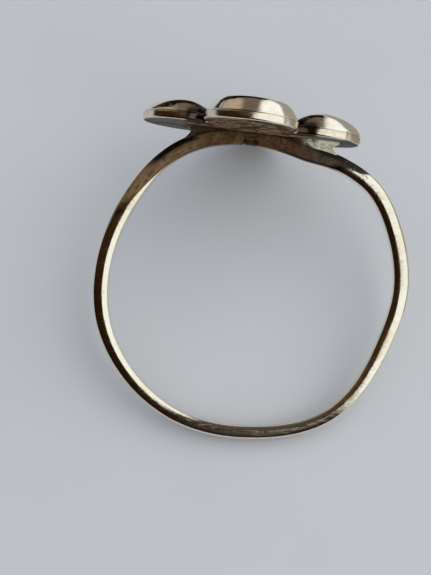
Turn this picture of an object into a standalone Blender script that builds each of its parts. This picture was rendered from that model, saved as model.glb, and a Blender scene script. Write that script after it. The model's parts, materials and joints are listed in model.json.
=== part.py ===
"""Signet ring with a four-petal head, lying on its side as it rests on a table.

A wire of rounded square section, rounder on the inside, is bent by hand into a hoop and
its ends are soldered together.
The crown of the hoop is filed flat over the joint, and a four-lobed back plate is
soldered on there, a little crooked. Four hollow domed petals sit on the plate.

Ring axes: X to the right, Y from the finger towards the head, Z along the finger.
Lengths are in millimetres until they become vertices, angles in degrees.
"""

import math

import bmesh
import bpy
import numpy as np
from mathutils import Vector

MM = 0.001

# Band
BORE_DIAMETER = 17.1
BAND_WIDTH = 1.1
SHOULDER_THICKNESS = 0.95
BASE_THICKNESS = 0.79
SECTION_SQUARENESS = 3.2
BORE_SQUARENESS = 2.6
BORE_CUT = 0.8
BORE_CORNER = 0.03
SEAM_ANGLE = 90.0
SEAM_GAP = 0.9

# Where the band was bent out of round: angle from +X towards +Y, departure of the bore
HAND_BENDS = (
    (0.0, -0.02),
    (20.0, 0.16),
    (38.0, 0.36),
    (54.0, 0.02),
    (68.0, -0.36),
    (90.0, -0.07),
    (117.0, 0.25),
    (145.0, -0.10),
    (168.0, -0.08),
    (195.0, 0.13),
    (235.0, 0.08),
    (270.0, -0.14),
    (301.0, 0.12),
    (335.0, -0.30),
)

# Head
HEAD_ROLL = -7.0
SEAT_DEPTH = 0.25
PLATE_THICKNESS = 0.48
PLATE_LEDGE = 0.05
PLATE_BEVEL = 0.08
NOTCH_RADIUS = 0.25
PETAL_RADIUS = 2.69
PETAL_HEIGHT = 1.09
PETAL_LEFT_HEIGHT = 0.97
PETAL_CREST_OUT = 0.55
PETAL_OUTER_FALL = 0.62
PETAL_INNER_FALL = 1.5
PETAL_FLANK = 0.22
PETAL_CROWN = 0.18
PETAL_WALL = 0.4
PETAL_SPACING = 0.05

# Solder
SOLDER_FILM = 0.03
SOLDER_THIN = 0.13
SOLDER_LEFT_END = 0.78
SOLDER_RIGHT_END = 0.66
SOLDER_FOOT = 0.80
SOLDER_WAIST = 0.74
SOLDER_TOP = 1.5
SOLDER_HOLLOW = 2.2
SEAM_BULGE = 0.03
SEAM_GROOVE = 0.15

# Fineness of the curved faces
BAND_STATIONS = 120
CROWN_STEPS = 8
BORE_STEPS = (0.3, 0.62, 0.92)
PETAL_STEPS = 40
DOME_STEPS = 10
LOBE_STEPS = 20
NOTCH_STEPS = 6
SOLDER_CUTS = 8

# Sizes that follow from the ones above
PLATE_LOBE = PETAL_RADIUS + PLATE_LEDGE
PETAL_PITCH = (2.0 * PETAL_RADIUS + PETAL_SPACING) / math.sqrt(2.0)
HEAD_NORMAL = Vector((-math.sin(math.radians(HEAD_ROLL)), math.cos(math.radians(HEAD_ROLL)), 0.0))

SILVER = ("warm_silver", (0.82, 0.74, 0.60), 0.16)
PATINA = ("dark_silver", (0.46, 0.38, 0.28), 0.34)
SOLDER = ("pale_solder", (0.70, 0.68, 0.54), 0.38)
DULL_SOLDER = ("dull_solder", (0.30, 0.25, 0.19), 0.48)


def bore_radius(angle):
    """Inside radius of the band at an angle: the round bore plus a smooth curve through the bends."""
    angles = np.array([bend[0] for bend in HAND_BENDS])
    departures = np.array([bend[1] for bend in HAND_BENDS])
    count = len(HAND_BENDS)
    turn = angle % 360.0
    first = int(np.searchsorted(angles, turn, side="right")) - 1
    knots = [first - 1, first, first + 1, first + 2]
    at = [angles[k % count] + 360.0 * (k // count) for k in knots]
    off = [departures[k % count] for k in knots]
    span = at[2] - at[1]
    slope_in = (off[2] - off[0]) / (at[2] - at[0]) * span
    slope_out = (off[3] - off[1]) / (at[3] - at[1]) * span
    t = (turn - at[1]) / span
    smooth = t * t * (3.0 - 2.0 * t)
    departure = off[1] * (1.0 - smooth) + off[2] * smooth
    departure += slope_in * t * (1.0 - t) ** 2 - slope_out * t * t * (1.0 - t)
    return BORE_DIAMETER / 2.0 + float(departure)


def shoulder_share(angle):
    """One from the shoulders down to the sides, then easing to zero at the base of the band."""
    below = max(0.0, -math.sin(math.radians(angle)))
    return 0.5 + 0.5 * math.cos(math.pi * below)


def band_thickness(angle):
    return BASE_THICKNESS + (SHOULDER_THICKNESS - BASE_THICKNESS) * shoulder_share(angle)


def band_point(angle, across, out):
    """Ring position at an angle, a distance along the finger and a height above the bore."""
    radius = bore_radius(angle) + out
    turn = math.radians(angle)
    return Vector((radius * math.cos(turn), radius * math.sin(turn), across))


def crown_height(angle, across):
    """Height of the rounded outside of the band above its bore."""
    share = min(1.0, abs(across) / (BAND_WIDTH / 2.0))
    swell = (1.0 - share ** SECTION_SQUARENESS) ** (1.0 / SECTION_SQUARENESS)
    return band_thickness(angle) / 2.0 * (1.0 + swell)


def seat_distance():
    """How far the underside of the plate lies from the ring centre, measured along its normal."""
    crown = [
        HEAD_NORMAL.dot(band_point(angle, 0.0, band_thickness(angle)))
        for angle in np.arange(45.0, 135.0, 0.5)
    ]
    return max(crown) - SEAT_DEPTH


SEAT = seat_distance()
HEAD_HEIGHT = SEAT / HEAD_NORMAL.y


def file_flat(point):
    """Move a point of the band that stands above the filed seat down onto it."""
    above = HEAD_NORMAL.dot(point) - (SEAT - SOLDER_FILM)
    if above > 0.0:
        return point - HEAD_NORMAL * above
    return point


def squared(value):
    """Sine or cosine drawn out towards one, which turns a circle into a rounded square."""
    return math.copysign(abs(value) ** (2.0 / SECTION_SQUARENESS), value)


def inner_share(depth):
    """Share of the width left at a depth below the middle of the section, one being the flat bore."""
    return (1.0 - (BORE_CUT * depth) ** BORE_SQUARENESS) ** (1.0 / BORE_SQUARENESS)


def band_section(angle):
    """Section as (across, out) pairs: a rounded square outside, rounder inside and cut flat by the bore."""
    half = band_thickness(angle) / 2.0
    side = BAND_WIDTH / 2.0
    section = []
    for step in range(CROWN_STEPS):
        turn = math.pi * (step + 0.5) / CROWN_STEPS
        section.append((side * squared(math.cos(turn)), half + half * squared(math.sin(turn))))
    inside = [(side * inner_share(depth), half - half * depth) for depth in BORE_STEPS]
    inside.append((side * inner_share(1.0) - BORE_CORNER, 0.0))
    section += [(-across, out) for across, out in inside]
    section += reversed(inside)
    return section


def polished(name, colour, roughness):
    """A metal finish of the given colour and roughness."""
    material = bpy.data.materials.get(name)
    if material is None:
        material = bpy.data.materials.new(name)
        material.use_nodes = True
        shader = material.node_tree.nodes["Principled BSDF"]
        shader.inputs["Base Color"].default_value = (*colour, 1.0)
        shader.inputs["Roughness"].default_value = roughness
        shader.inputs["Metallic"].default_value = 1.0
        material.diffuse_color = (*colour, 1.0)
        material.metallic = 1.0
        material.roughness = roughness
    return material


def place(name, mesh_builder, finish, parent, location=(0.0, 0.0, 0.0)):
    """Turn a bmesh in millimetres into a named object of its own on a parent."""
    bmesh.ops.scale(mesh_builder, vec=(MM, MM, MM), verts=mesh_builder.verts)
    bmesh.ops.recalc_face_normals(mesh_builder, faces=mesh_builder.faces)
    mesh = bpy.data.meshes.new(name)
    mesh_builder.to_mesh(mesh)
    mesh_builder.free()
    mesh.shade_smooth()
    mesh.set_sharp_from_angle(angle=math.radians(38.0))
    mesh.materials.append(polished(*finish))
    piece = bpy.data.objects.new(name, mesh)
    bpy.context.scene.collection.objects.link(piece)
    piece.parent = parent
    piece.location = Vector(location) * MM
    return piece


def loft(sections):
    """Skin a row of equal closed sections and cap both ends."""
    builder = bmesh.new()
    loops = [[builder.verts.new(point) for point in section] for section in sections]
    count = len(loops[0])
    for near, far in zip(loops, loops[1:]):
        for k in range(count):
            after = (k + 1) % count
            builder.faces.new((near[k], near[after], far[after], far[k]))
    builder.faces.new(list(reversed(loops[0])))
    builder.faces.new(loops[-1])
    return builder


def build_shank(parent):
    """The band from one side of the seam round to the other, its crown filed flat under the plate."""
    half_gap = math.degrees(SEAM_GAP / 2.0 / bore_radius(SEAM_ANGLE))
    sections = []
    for angle in np.linspace(SEAM_ANGLE + half_gap, SEAM_ANGLE + 360.0 - half_gap, BAND_STATIONS):
        sections.append([file_flat(band_point(angle, *spot)) for spot in band_section(angle)])
    return place("shank", loft(sections), SILVER, parent)


def build_seam(parent):
    """Solder between the ends of the band, proud of the bore and with a groove along both its edges."""
    half_gap = math.degrees((SEAM_GAP / 2.0 - SOLDER_FILM) / bore_radius(SEAM_ANGLE))
    sections = []
    for share in np.linspace(-1.0, 1.0, 13):
        angle = SEAM_ANGLE + half_gap * float(share)
        swell = SEAM_BULGE - SEAM_GROOVE * float(share) ** 8
        section = []
        for across, out in band_section(angle):
            inner = max(0.0, 1.0 - 2.0 * out / band_thickness(angle))
            section.append(file_flat(band_point(angle, across, out - swell * inner)))
        sections.append(section)
    return place("solder_seam", loft(sections), DULL_SOLDER, parent)


def plate_outline(inset):
    """Four-lobed outline with rounded notches, drawn as arcs and set in by a distance."""
    lobe = PLATE_LOBE - inset
    notch = NOTCH_RADIUS + inset
    reach = PLATE_LOBE + NOTCH_RADIUS
    diagonal = PETAL_PITCH / math.sqrt(2.0)
    notch_at = diagonal + math.sqrt(diagonal * diagonal - PETAL_PITCH * PETAL_PITCH + reach * reach)
    notch_x = notch_at / math.sqrt(2.0)
    tangent = math.atan2(notch_x, notch_x - PETAL_PITCH)
    opening = tangent - math.pi / 4.0
    outline = []
    for quarter in range(4):
        turn = quarter * math.pi / 2.0
        for step in range(LOBE_STEPS + 1):
            angle = tangent * (2.0 * step / LOBE_STEPS - 1.0)
            x = PETAL_PITCH + lobe * math.cos(angle)
            y = lobe * math.sin(angle)
            outline.append((x * math.cos(turn) - y * math.sin(turn), x * math.sin(turn) + y * math.cos(turn)))
        for step in range(1, NOTCH_STEPS):
            angle = math.pi / 4.0 + math.pi + opening * (1.0 - 2.0 * step / NOTCH_STEPS)
            x = notch_x + notch * math.cos(angle)
            y = notch_x + notch * math.sin(angle)
            outline.append((x * math.cos(turn) - y * math.sin(turn), x * math.sin(turn) + y * math.cos(turn)))
    return outline


def build_plate(parent):
    """Four-lobed sheet with eased edges above and below."""
    levels = (
        (0.0, PLATE_BEVEL),
        (PLATE_BEVEL, 0.0),
        (PLATE_THICKNESS - PLATE_BEVEL, 0.0),
        (PLATE_THICKNESS, PLATE_BEVEL),
    )
    sections = [[(x, y, height) for x, y in plate_outline(inset)] for height, inset in levels]
    return place("back_plate", loft(sections), PATINA, parent)


def cushion(radius, height, outer_flank):
    """Rings of a round dome from its rim inwards, and its crest.

    The crest stands outward of the middle. Where steep is one, at both sides of the dome,
    it rises as a straight flank to a low crown. Towards the outside of the head it is
    rounded, or as steep as at its sides where outer_flank is one, and towards the middle
    of the head it slopes down gently.
    """
    crest = Vector((PETAL_CREST_OUT, 0.0, height))
    rings = []
    for level in range(DOME_STEPS):
        share = math.cos(math.pi / 2.0 * level / DOME_STEPS)
        run = (1.0 - share) / PETAL_FLANK
        flank = run / (1.0 + run ** 4) ** 0.25 * (1.0 - PETAL_CROWN * share * share)
        ring = []
        for step in range(PETAL_STEPS):
            turn = 2.0 * math.pi * step / PETAL_STEPS
            inward = (0.5 - 0.5 * math.cos(turn)) ** 3
            fall = PETAL_OUTER_FALL + (PETAL_INNER_FALL - PETAL_OUTER_FALL) * inward
            steep = outer_flank * (1.0 - inward) + (1.0 - outer_flank) * math.sin(turn) ** 4
            rise = (1.0 - steep) * (1.0 - share * share) ** fall + steep * flank
            x = crest.x + (radius * math.cos(turn) - crest.x) * share
            y = radius * math.sin(turn) * share
            ring.append((x, y, height * rise))
        rings.append(ring)
    return rings, crest


def build_petal(name, turn, parent, height, outer_flank):
    """Hollow domed cap, open underneath, set on the plate with its crest turned outward."""
    builder = bmesh.new()
    rims = []
    for wall in (0.0, PETAL_WALL):
        rings, crest = cushion(PETAL_RADIUS - wall, height - wall, outer_flank)
        loops = [[builder.verts.new(point) for point in ring] for ring in rings]
        top = builder.verts.new(crest)
        for near, far in zip(loops, loops[1:]):
            for k in range(PETAL_STEPS):
                after = (k + 1) % PETAL_STEPS
                builder.faces.new((near[k], near[after], far[after], far[k]))
        for k in range(PETAL_STEPS):
            builder.faces.new((loops[-1][k], loops[-1][(k + 1) % PETAL_STEPS], top))
        rims.append(loops[0])
    for k in range(PETAL_STEPS):
        after = (k + 1) % PETAL_STEPS
        builder.faces.new((rims[0][k], rims[0][after], rims[1][after], rims[1][k]))
    direction = Vector((math.cos(math.radians(turn)), math.sin(math.radians(turn)), 0.0))
    spot = direction * PETAL_PITCH + Vector((0.0, 0.0, PLATE_THICKNESS + SOLDER_FILM))
    petal = place(name, builder, SILVER, parent, spot)
    petal.rotation_euler = (0.0, 0.0, math.radians(turn))
    return petal


def plate_gap(angle):
    """Room between the crown of the band and the plate."""
    return SEAT - HEAD_NORMAL.dot(band_point(angle, 0.0, band_thickness(angle)))


def angle_at_gap(side, gap):
    """Angle on one side of the seat at which the crown has fallen away from the plate by a gap."""
    offset = 4.0
    while offset < 60.0 and plate_gap(SEAM_ANGLE + side * offset) < gap:
        offset += 0.05
    return SEAM_ANGLE + side * offset


def build_fillet(name, side, end_gap, finish, parent):
    """Solder wedge between the crown and the plate, hollowed round its free edges."""
    start = angle_at_gap(side, SOLDER_THIN)
    end = angle_at_gap(side, end_gap)
    builder = bmesh.new()
    bmesh.ops.create_cube(builder, size=1.0)
    bmesh.ops.subdivide_edges(builder, edges=builder.edges, cuts=SOLDER_CUTS, use_grid_fill=True)
    for vertex in builder.verts:
        along, side_share, up = vertex.co
        flare = 4.0 * up * up
        angle = start + (end - start) * (along + 0.5) + side * SOLDER_HOLLOW * (flare - 1.0) * (along + 0.5)
        spread = SOLDER_TOP if up > 0.0 else SOLDER_FOOT
        foot = side_share * BAND_WIDTH * SOLDER_FOOT
        low = band_point(angle, foot, crown_height(angle, foot) + SOLDER_FILM)
        room = SEAT - SOLDER_FILM - HEAD_NORMAL.dot(low)
        vertex.co = low + HEAD_NORMAL * room * (up + 0.5)
        vertex.co.z = side_share * BAND_WIDTH * (SOLDER_WAIST + (spread - SOLDER_WAIST) * flare)
    return place(name, builder, finish, parent)


def lie_angle(band, head):
    """Tilt about X at which the head and the band touch the table together, from their spots in ring axes."""
    least = 0.0
    most = math.pi / 4.0
    for _ in range(50):
        tilt = (least + most) / 2.0
        up = np.array((0.0, math.sin(tilt), math.cos(tilt)))
        if (head @ up).min() < (band @ up).min():
            least = tilt
        else:
            most = tilt
    return tilt


def spots_of(pieces):
    """Places of all vertices of some pieces."""
    bpy.context.view_layer.update()
    return np.array([piece.matrix_world @ vertex.co for piece in pieces for vertex in piece.data.vertices])


def set_down(root, band, head):
    """Lay the ring on the table on its head and band, centred over the origin."""
    root.rotation_euler = (lie_angle(spots_of(band), spots_of(head)), 0.0, 0.0)
    spots = spots_of(band + head)
    low = spots.min(axis=0)
    high = spots.max(axis=0)
    root.location = (-(low[0] + high[0]) / 2.0, -(low[1] + high[1]) / 2.0, -low[2])
    bpy.context.view_layer.update()


def main():
    for leftover in list(bpy.data.objects):
        bpy.data.objects.remove(leftover, do_unlink=True)
    root = bpy.data.objects.new("ring_axes", None)
    head = bpy.data.objects.new("head_axes", None)
    for guide in (root, head):
        bpy.context.scene.collection.objects.link(guide)
    head.parent = root
    head.location = Vector((0.0, HEAD_HEIGHT, 0.0)) * MM
    head.rotation_euler = (math.radians(-90.0), 0.0, math.radians(HEAD_ROLL))
    band_pieces = [
        build_shank(root),
        build_fillet("solder_left", 1.0, SOLDER_LEFT_END, DULL_SOLDER, root),
        build_fillet("solder_right", -1.0, SOLDER_RIGHT_END, SOLDER, root),
        build_seam(root),
    ]
    head_pieces = [
        build_plate(head),
        build_petal("petal_left", 180.0, head, PETAL_LEFT_HEIGHT, 0.0),
        build_petal("petal_right", 0.0, head, PETAL_HEIGHT, 0.0),
        build_petal("petal_front", 270.0, head, PETAL_HEIGHT, 1.0),
        build_petal("petal_rear", 90.0, head, PETAL_HEIGHT, 1.0),
    ]
    set_down(root, band_pieces, head_pieces)


main()
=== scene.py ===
"""Looks of the four-petal ring: every CAD node is made again with fine curves and worn metal.

Lengths are in millimetres in ring axes, X to the right, Y from the finger towards the head,
Z along the finger, until a piece is set down in the frame of the CAD model, in metres.
"""

import json
import math

import bmesh
import bpy
import numpy as np
from mathutils import Matrix, Vector, noise


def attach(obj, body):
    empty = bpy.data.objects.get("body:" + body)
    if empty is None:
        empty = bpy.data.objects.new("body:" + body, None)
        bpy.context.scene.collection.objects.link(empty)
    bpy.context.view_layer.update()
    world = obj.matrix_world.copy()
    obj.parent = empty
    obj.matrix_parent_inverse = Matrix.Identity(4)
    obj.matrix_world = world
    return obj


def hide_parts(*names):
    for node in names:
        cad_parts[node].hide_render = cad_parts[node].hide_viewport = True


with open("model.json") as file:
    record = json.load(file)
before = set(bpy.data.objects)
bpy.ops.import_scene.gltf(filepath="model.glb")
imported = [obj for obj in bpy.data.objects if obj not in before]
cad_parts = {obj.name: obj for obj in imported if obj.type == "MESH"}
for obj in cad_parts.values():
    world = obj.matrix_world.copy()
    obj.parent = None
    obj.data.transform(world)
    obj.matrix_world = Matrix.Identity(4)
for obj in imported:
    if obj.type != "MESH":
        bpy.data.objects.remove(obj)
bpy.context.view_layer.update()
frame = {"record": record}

MM = 0.001
MM_PER_METRE = 1000.0

# Band
BORE_DIAMETER = 17.1
BAND_WIDTH = 1.1
SHOULDER_THICKNESS = 0.95
BASE_THICKNESS = 0.79
SECTION_SQUARENESS = 3.2
BORE_SQUARENESS = 2.6
BORE_CUT = 0.8
SEAM_ANGLE = 90.0
SEAM_GAP = 0.9
HAND_BENDS = (
    (0.0, -0.02),
    (20.0, 0.16),
    (38.0, 0.36),
    (54.0, 0.02),
    (68.0, -0.36),
    (90.0, -0.07),
    (117.0, 0.25),
    (145.0, -0.10),
    (168.0, -0.08),
    (195.0, 0.13),
    (235.0, 0.08),
    (270.0, -0.14),
    (301.0, 0.12),
    (335.0, -0.30),
)
BAND_STEPS = 541
CROWN_STEPS = 32
END_LENGTH = 0.1
END_CUTS = (0.0, 0.015, 0.03, 0.05, 0.07)
END_EASE = 0.05
END_EASED = 0.09

# Points on the inside of the band's section, one after another: depths down the side, the bend into
# the corner, insets and depths round the corner, shares of the flat
BORE_SIDE = (0.04, 0.86, 12)
BORE_BEND = (0.91, 0.925)
BORE_CORNER = ((0.005, 0.965), (0.04, 0.99), (0.10, 1.0))
BORE_FLAT = (0.5, 0.2)

# Head
HEAD_ROLL = -7.0
SEAT_ANGLES = np.arange(45.0, 135.0, 0.5)
SEAT_DEPTH = 0.25
PLATE_THICKNESS = 0.48
PLATE_LEDGE = 0.05
PLATE_LOWER_EASE = 0.14
PLATE_UPPER_EASE = 0.06
PLATE_LOWER_INSETS = (2.4, 1.6, 0.8, 0.4, PLATE_LOWER_EASE + 0.04)
PLATE_UPPER_INSETS = (PLATE_UPPER_EASE + 0.04, 0.4, 1.6)
EASE_STEPS = 8
LOBE_STEPS = 72
NOTCH_STEPS = 20
NOTCH_RADIUS = 0.25
PETAL_RADIUS = 2.69
PETAL_HEIGHT = 1.09
PETAL_LEFT_HEIGHT = 0.97
PETAL_FOOT = 0.05
PETAL_FILM = 0.004
PETAL_CREST_OUT = 0.55
PETAL_OUTER_FALL = 0.62
PETAL_INNER_FALL = 1.5
PETAL_FLANK = 0.22
PETAL_CROWN = 0.18
PETAL_SPACING = 0.05
PETAL_STEPS = 176
FOOT_LEVELS = 6
DOME_LEVELS = 44

# Solder
SOLDER_FILM = 0.03
SOLDER_THIN = 0.05
SOLDER_LEFT_END = 0.78
SOLDER_RIGHT_END = 0.66
SOLDER_NEAREST = 4.0
SOLDER_FURTHEST = 60.0
SOLDER_SEARCH_STEP = 0.05
SOLDER_FOOT = 0.84
SOLDER_WAIST = 0.76
SOLDER_TOP = 1.6
SOLDER_HOLLOW = 2.2
SOLDER_INTO_BAND = 0.02
SOLDER_INTO_PLATE = 0.01
SOLDER_END_WANDER = 0.6
SOLDER_LUMPS = 0.08
SOLDER_CUTS = 26
SEAM_BULGE = 0.03
SEAM_GROOVE = 0.15
SEAM_OVERLAP = 0.02
SEAM_WANDER = 0.2
SEAM_SINK = 0.01
SEAM_NARROWING = 0.99
SEAM_STEPS = 49

# Hand work: ripples as (depth, size, seed), each sunk by a share of its depth to stay in the solid
BAND_DENTS = ((0.008, 2.3, 4.0), (0.003, 0.9, 9.0))
BAND_DENT_SINK = 0.6
BAND_NARROWING = 0.992
DENT_IN_WIDTH = 0.3
RIM_WAVES = ((0.012, 1.1, 2.0), (0.006, 0.35, 5.0))
RIM_WAVE_SINK = 0.8
PETAL_DENTS = ((0.010, 1.3, 6.0), (0.004, 0.5, 8.0))
PETAL_DENT_SINK = 0.7
SHARP_EDGE = 50.0

# Ripples of the solder as (size, seed)
SEAM_EDGE_RIPPLE = (0.35, 3.0)
SEAM_LUMP_RIPPLE = (0.3, 7.0)
SOLDER_END_RIPPLE = (0.6, 13.0)
SOLDER_LUMP_RIPPLE = (0.7, 11.0)

# View: the ring centre lies at this pixel of the 431 x 575 picture
PICTURE = (431, 575)
RING_PIXEL = (251.0, 286.0)
VIEW_DISTANCE = 82.0
MM_PER_PIXEL = 0.0601
SENSOR = 36.0

# What stands round the ring to be mirrored in it, glowing as painted reflections; bearings in
# degrees round from the right and up
TENT_RADIUS = 450.0
TENT_FOOT = -16.0
TENT_ROWS = 107
TENT_COLUMNS = 240
WINDOW_START = -52.0
SHEET_RADIUS = 460.0
SHEET_SPAN = (-64.0, 84.0)
CARD_RADIUS = 38.0
CARD_LEVELS = (-18.0, -9.0)
CARD_SPAN = (72.0, 140.0)
# The card and the mat glow in these colours and are seen only in reflections: painted reflections
CARD_BLACK = Vector((0.008, 0.005, 0.003))
MAT_STEP = 19.0
MAT_REACHES = (12.0, MAT_STEP, 40.0, 120.0)
MAT_CLEARANCE = 0.3
MAT_NEAR_START = -12.0
MAT_FAR_START = 10.0
MAT_END = 70.0
MAT_TAN = Vector((0.33, 0.295, 0.245))

PLATE_LOBE = PETAL_RADIUS + PLATE_LEDGE
PETAL_PITCH = (2.0 * PETAL_RADIUS + PETAL_SPACING) / math.sqrt(2.0)
NOTCH_REACH = PLATE_LOBE + NOTCH_RADIUS
NOTCH_AT = PETAL_PITCH / 2.0 + math.sqrt(NOTCH_REACH ** 2 / 2.0 - PETAL_PITCH ** 2 / 4.0)
HEAD_TURN = math.radians(HEAD_ROLL)
HEAD_NORMAL = Vector((-math.sin(HEAD_TURN), math.cos(HEAD_TURN), 0.0))

finger_hole = frame["record"]["mounts"][0]
LEAN = math.atan2(-finger_hole["axis"][1], finger_hole["axis"][2])
RING_PLACE = Matrix.Translation(Vector(finger_hole["pos_m"])) @ Matrix.Rotation(LEAN, 4, "X")
RING_FRAME = RING_PLACE @ Matrix.Scale(MM, 4)


# Shapes of the band


def bore_radius(angle):
    """Inside radius of the band at an angle: the round bore and a smooth curve through its bends."""
    angles = [bend[0] for bend in HAND_BENDS]
    departures = [bend[1] for bend in HAND_BENDS]
    count = len(HAND_BENDS)
    turn = angle % 360.0
    first = int(np.searchsorted(angles, turn, side="right")) - 1
    knots = [first - 1, first, first + 1, first + 2]
    at = [angles[k % count] + 360.0 * (k // count) for k in knots]
    off = [departures[k % count] for k in knots]
    span = at[2] - at[1]
    slope_in = (off[2] - off[0]) / (at[2] - at[0]) * span
    slope_out = (off[3] - off[1]) / (at[3] - at[1]) * span
    t = (turn - at[1]) / span
    smooth = t * t * (3.0 - 2.0 * t)
    departure = off[1] * (1.0 - smooth) + off[2] * smooth
    departure += slope_in * t * (1.0 - t) ** 2 - slope_out * t * t * (1.0 - t)
    return BORE_DIAMETER / 2.0 + float(departure)


def turn_of(length):
    """Degrees that a length of wire takes up round the bore at the seam."""
    return math.degrees(length / bore_radius(SEAM_ANGLE))


def band_thickness(angle):
    """Shoulder thickness down to the sides, then easing to the worn base."""
    below = max(0.0, -math.sin(math.radians(angle)))
    share = 0.5 + 0.5 * math.cos(math.pi * below)
    return BASE_THICKNESS + (SHOULDER_THICKNESS - BASE_THICKNESS) * share


def band_point(angle, across, out):
    """Ring position at an angle, a distance along the finger and a height above the bore."""
    radius = bore_radius(angle) + out
    turn = math.radians(angle)
    return Vector((radius * math.cos(turn), radius * math.sin(turn), across))


def crown_height(angle, across):
    """Height of the rounded outside of the band above its bore."""
    share = min(1.0, abs(across) / (BAND_WIDTH / 2.0))
    swell = (1.0 - share ** SECTION_SQUARENESS) ** (1.0 / SECTION_SQUARENESS)
    return band_thickness(angle) / 2.0 * (1.0 + swell)


def crown_reach(angle):
    """How far the crown of the band stands out along the normal of the head."""
    return HEAD_NORMAL.dot(band_point(angle, 0.0, band_thickness(angle)))


SEAT = max(crown_reach(angle) for angle in SEAT_ANGLES) - SEAT_DEPTH
HEAD_HEIGHT = SEAT / HEAD_NORMAL.y
HEAD_PLACE = Matrix.Translation((0.0, HEAD_HEIGHT, 0.0)) @ Matrix.Rotation(HEAD_TURN, 4, "Z")
HEAD_PLACE = HEAD_PLACE @ Matrix.Rotation(math.radians(-90.0), 4, "X")
HEAD_FRAME = RING_FRAME @ HEAD_PLACE


def squared(value):
    """Sine or cosine drawn out towards one, which turns a circle into a rounded square."""
    return math.copysign(abs(value) ** (2.0 / SECTION_SQUARENESS), value)


def inner_share(depth):
    """Share of the width left at a depth below the middle of the section; at one lies the bore."""
    return (1.0 - (BORE_CUT * depth) ** BORE_SQUARENESS) ** (1.0 / BORE_SQUARENESS)


def band_section(angle):
    """Section as (across, out): a rounded square outside, a rounder half cut flat inside."""
    side = BAND_WIDTH / 2.0
    half = band_thickness(angle) / 2.0
    section = []
    for step in range(CROWN_STEPS):
        turn = math.pi * (step + 0.5) / CROWN_STEPS
        section.append((side * squared(math.cos(turn)), half + half * squared(math.sin(turn))))
    corner = inner_share(1.0)
    inside = [(inner_share(depth), depth) for depth in np.linspace(*BORE_SIDE)]
    inside.append((inner_share(BORE_BEND[0]), BORE_BEND[1]))
    inside += [(corner - inset, depth) for inset, depth in BORE_CORNER]
    inside += [(corner * share, 1.0) for share in BORE_FLAT]
    section += [(-side * share, half - half * depth) for share, depth in inside]
    section += [(side * share, half - half * depth) for share, depth in reversed(inside)]
    return section


def file_flat(point):
    """Move a point of the band that stands above the filed seat down onto it."""
    above = HEAD_NORMAL.dot(point) - (SEAT - SOLDER_FILM)
    return point - HEAD_NORMAL * above if above > 0.0 else point


def ripple(point, size, seed):
    """Smooth unevenness of hand work, between about minus one and one."""
    return noise.noise(point / size + Vector((seed, seed * 1.7, -seed)))


def unevenness(point, ripples, sink, seed=0.0):
    """Height of all ripples of a piece at a point."""
    return sum(depth * (ripple(point, size, own + seed) - sink) for depth, size, own in ripples)


# Pieces


def new_mesh(name, builder, finish):
    """Mesh of a bmesh, with its finish."""
    mesh = bpy.data.meshes.new(name)
    builder.to_mesh(mesh)
    builder.free()
    mesh.materials.append(finish)
    return mesh


def new_object(name, data):
    """Object in the scene that shows a mesh, a lamp or a camera."""
    thing = bpy.data.objects.new(name, data)
    bpy.context.scene.collection.objects.link(thing)
    return thing


def set_piece(name, builder, finish, place=Matrix.Identity(4)):
    """Set a bmesh in millimetres down in the CAD frame as the piece that stands for a node."""
    bmesh.ops.recalc_face_normals(builder, faces=builder.faces)
    if builder.calc_volume(signed=True) < 0.0:
        bmesh.ops.reverse_faces(builder, faces=builder.faces)
    bmesh.ops.transform(builder, matrix=RING_FRAME @ place, verts=builder.verts)
    mesh = new_mesh(name + "_worn", builder, finish)
    mesh.shade_smooth()
    mesh.set_sharp_from_angle(angle=math.radians(SHARP_EDGE))
    piece = new_object(name + "_worn", mesh)
    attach(piece, "root")
    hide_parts(name)
    return piece


def skin(builder, rings, is_open=None):
    """Faces between rings of spots, except where the wall is open; gives the rings of vertices."""
    loops = [[builder.verts.new(spot) for spot in ring] for ring in rings]
    count = len(loops[0])
    for near, far in zip(loops, loops[1:]):
        for k in range(count):
            after = (k + 1) % count
            corners = (near[k], near[after], far[after], far[k])
            if is_open is None or not is_open(sum((c.co for c in corners), Vector()) / 4.0):
                builder.faces.new(corners)
    return loops


def loft(sections):
    """Skin a row of equal closed sections and cap both its ends."""
    builder = bmesh.new()
    loops = skin(builder, sections)
    builder.faces.new(list(reversed(loops[0])))
    builder.faces.new(loops[-1])
    return builder


def mark_height(piece, shares):
    """Store for every vertex how high it lies between the bore, at nought, and the crown, at one."""
    marks = piece.data.attributes.new("from_bore", "FLOAT", "POINT")
    marks.data.foreach_set("value", shares)


def make_band(finish):
    """The bent wire, slightly uneven where hammer and file have been, its two ends eased."""
    start = SEAM_ANGLE + turn_of(SEAM_GAP / 2.0)
    end = SEAM_ANGLE + 360.0 - turn_of(SEAM_GAP / 2.0)
    near_end = [turn_of(away) for away in END_CUTS]
    angles = [start + turn for turn in near_end]
    angles += list(np.linspace(start + turn_of(END_LENGTH), end - turn_of(END_LENGTH), BAND_STEPS))
    angles += [end - turn for turn in reversed(near_end)]
    sections = []
    shares = []
    for angle in angles:
        away = math.radians(min(angle - start, end - angle)) * bore_radius(SEAM_ANGLE)
        ease = 1.0 - END_EASE * max(0.0, 1.0 - away / END_EASED) ** 2
        half = band_thickness(angle) / 2.0
        section = []
        for across, out in band_section(angle):
            dent = unevenness(band_point(angle, across, out), BAND_DENTS, BAND_DENT_SINK)
            width = across * ease * (BAND_NARROWING + DENT_IN_WIDTH * dent)
            section.append(file_flat(band_point(angle, width, half + (out - half) * ease + dent)))
            shares.append(out / half / 2.0)
        sections.append(section)
    mark_height(set_piece("shank", loft(sections), finish), shares)


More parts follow.
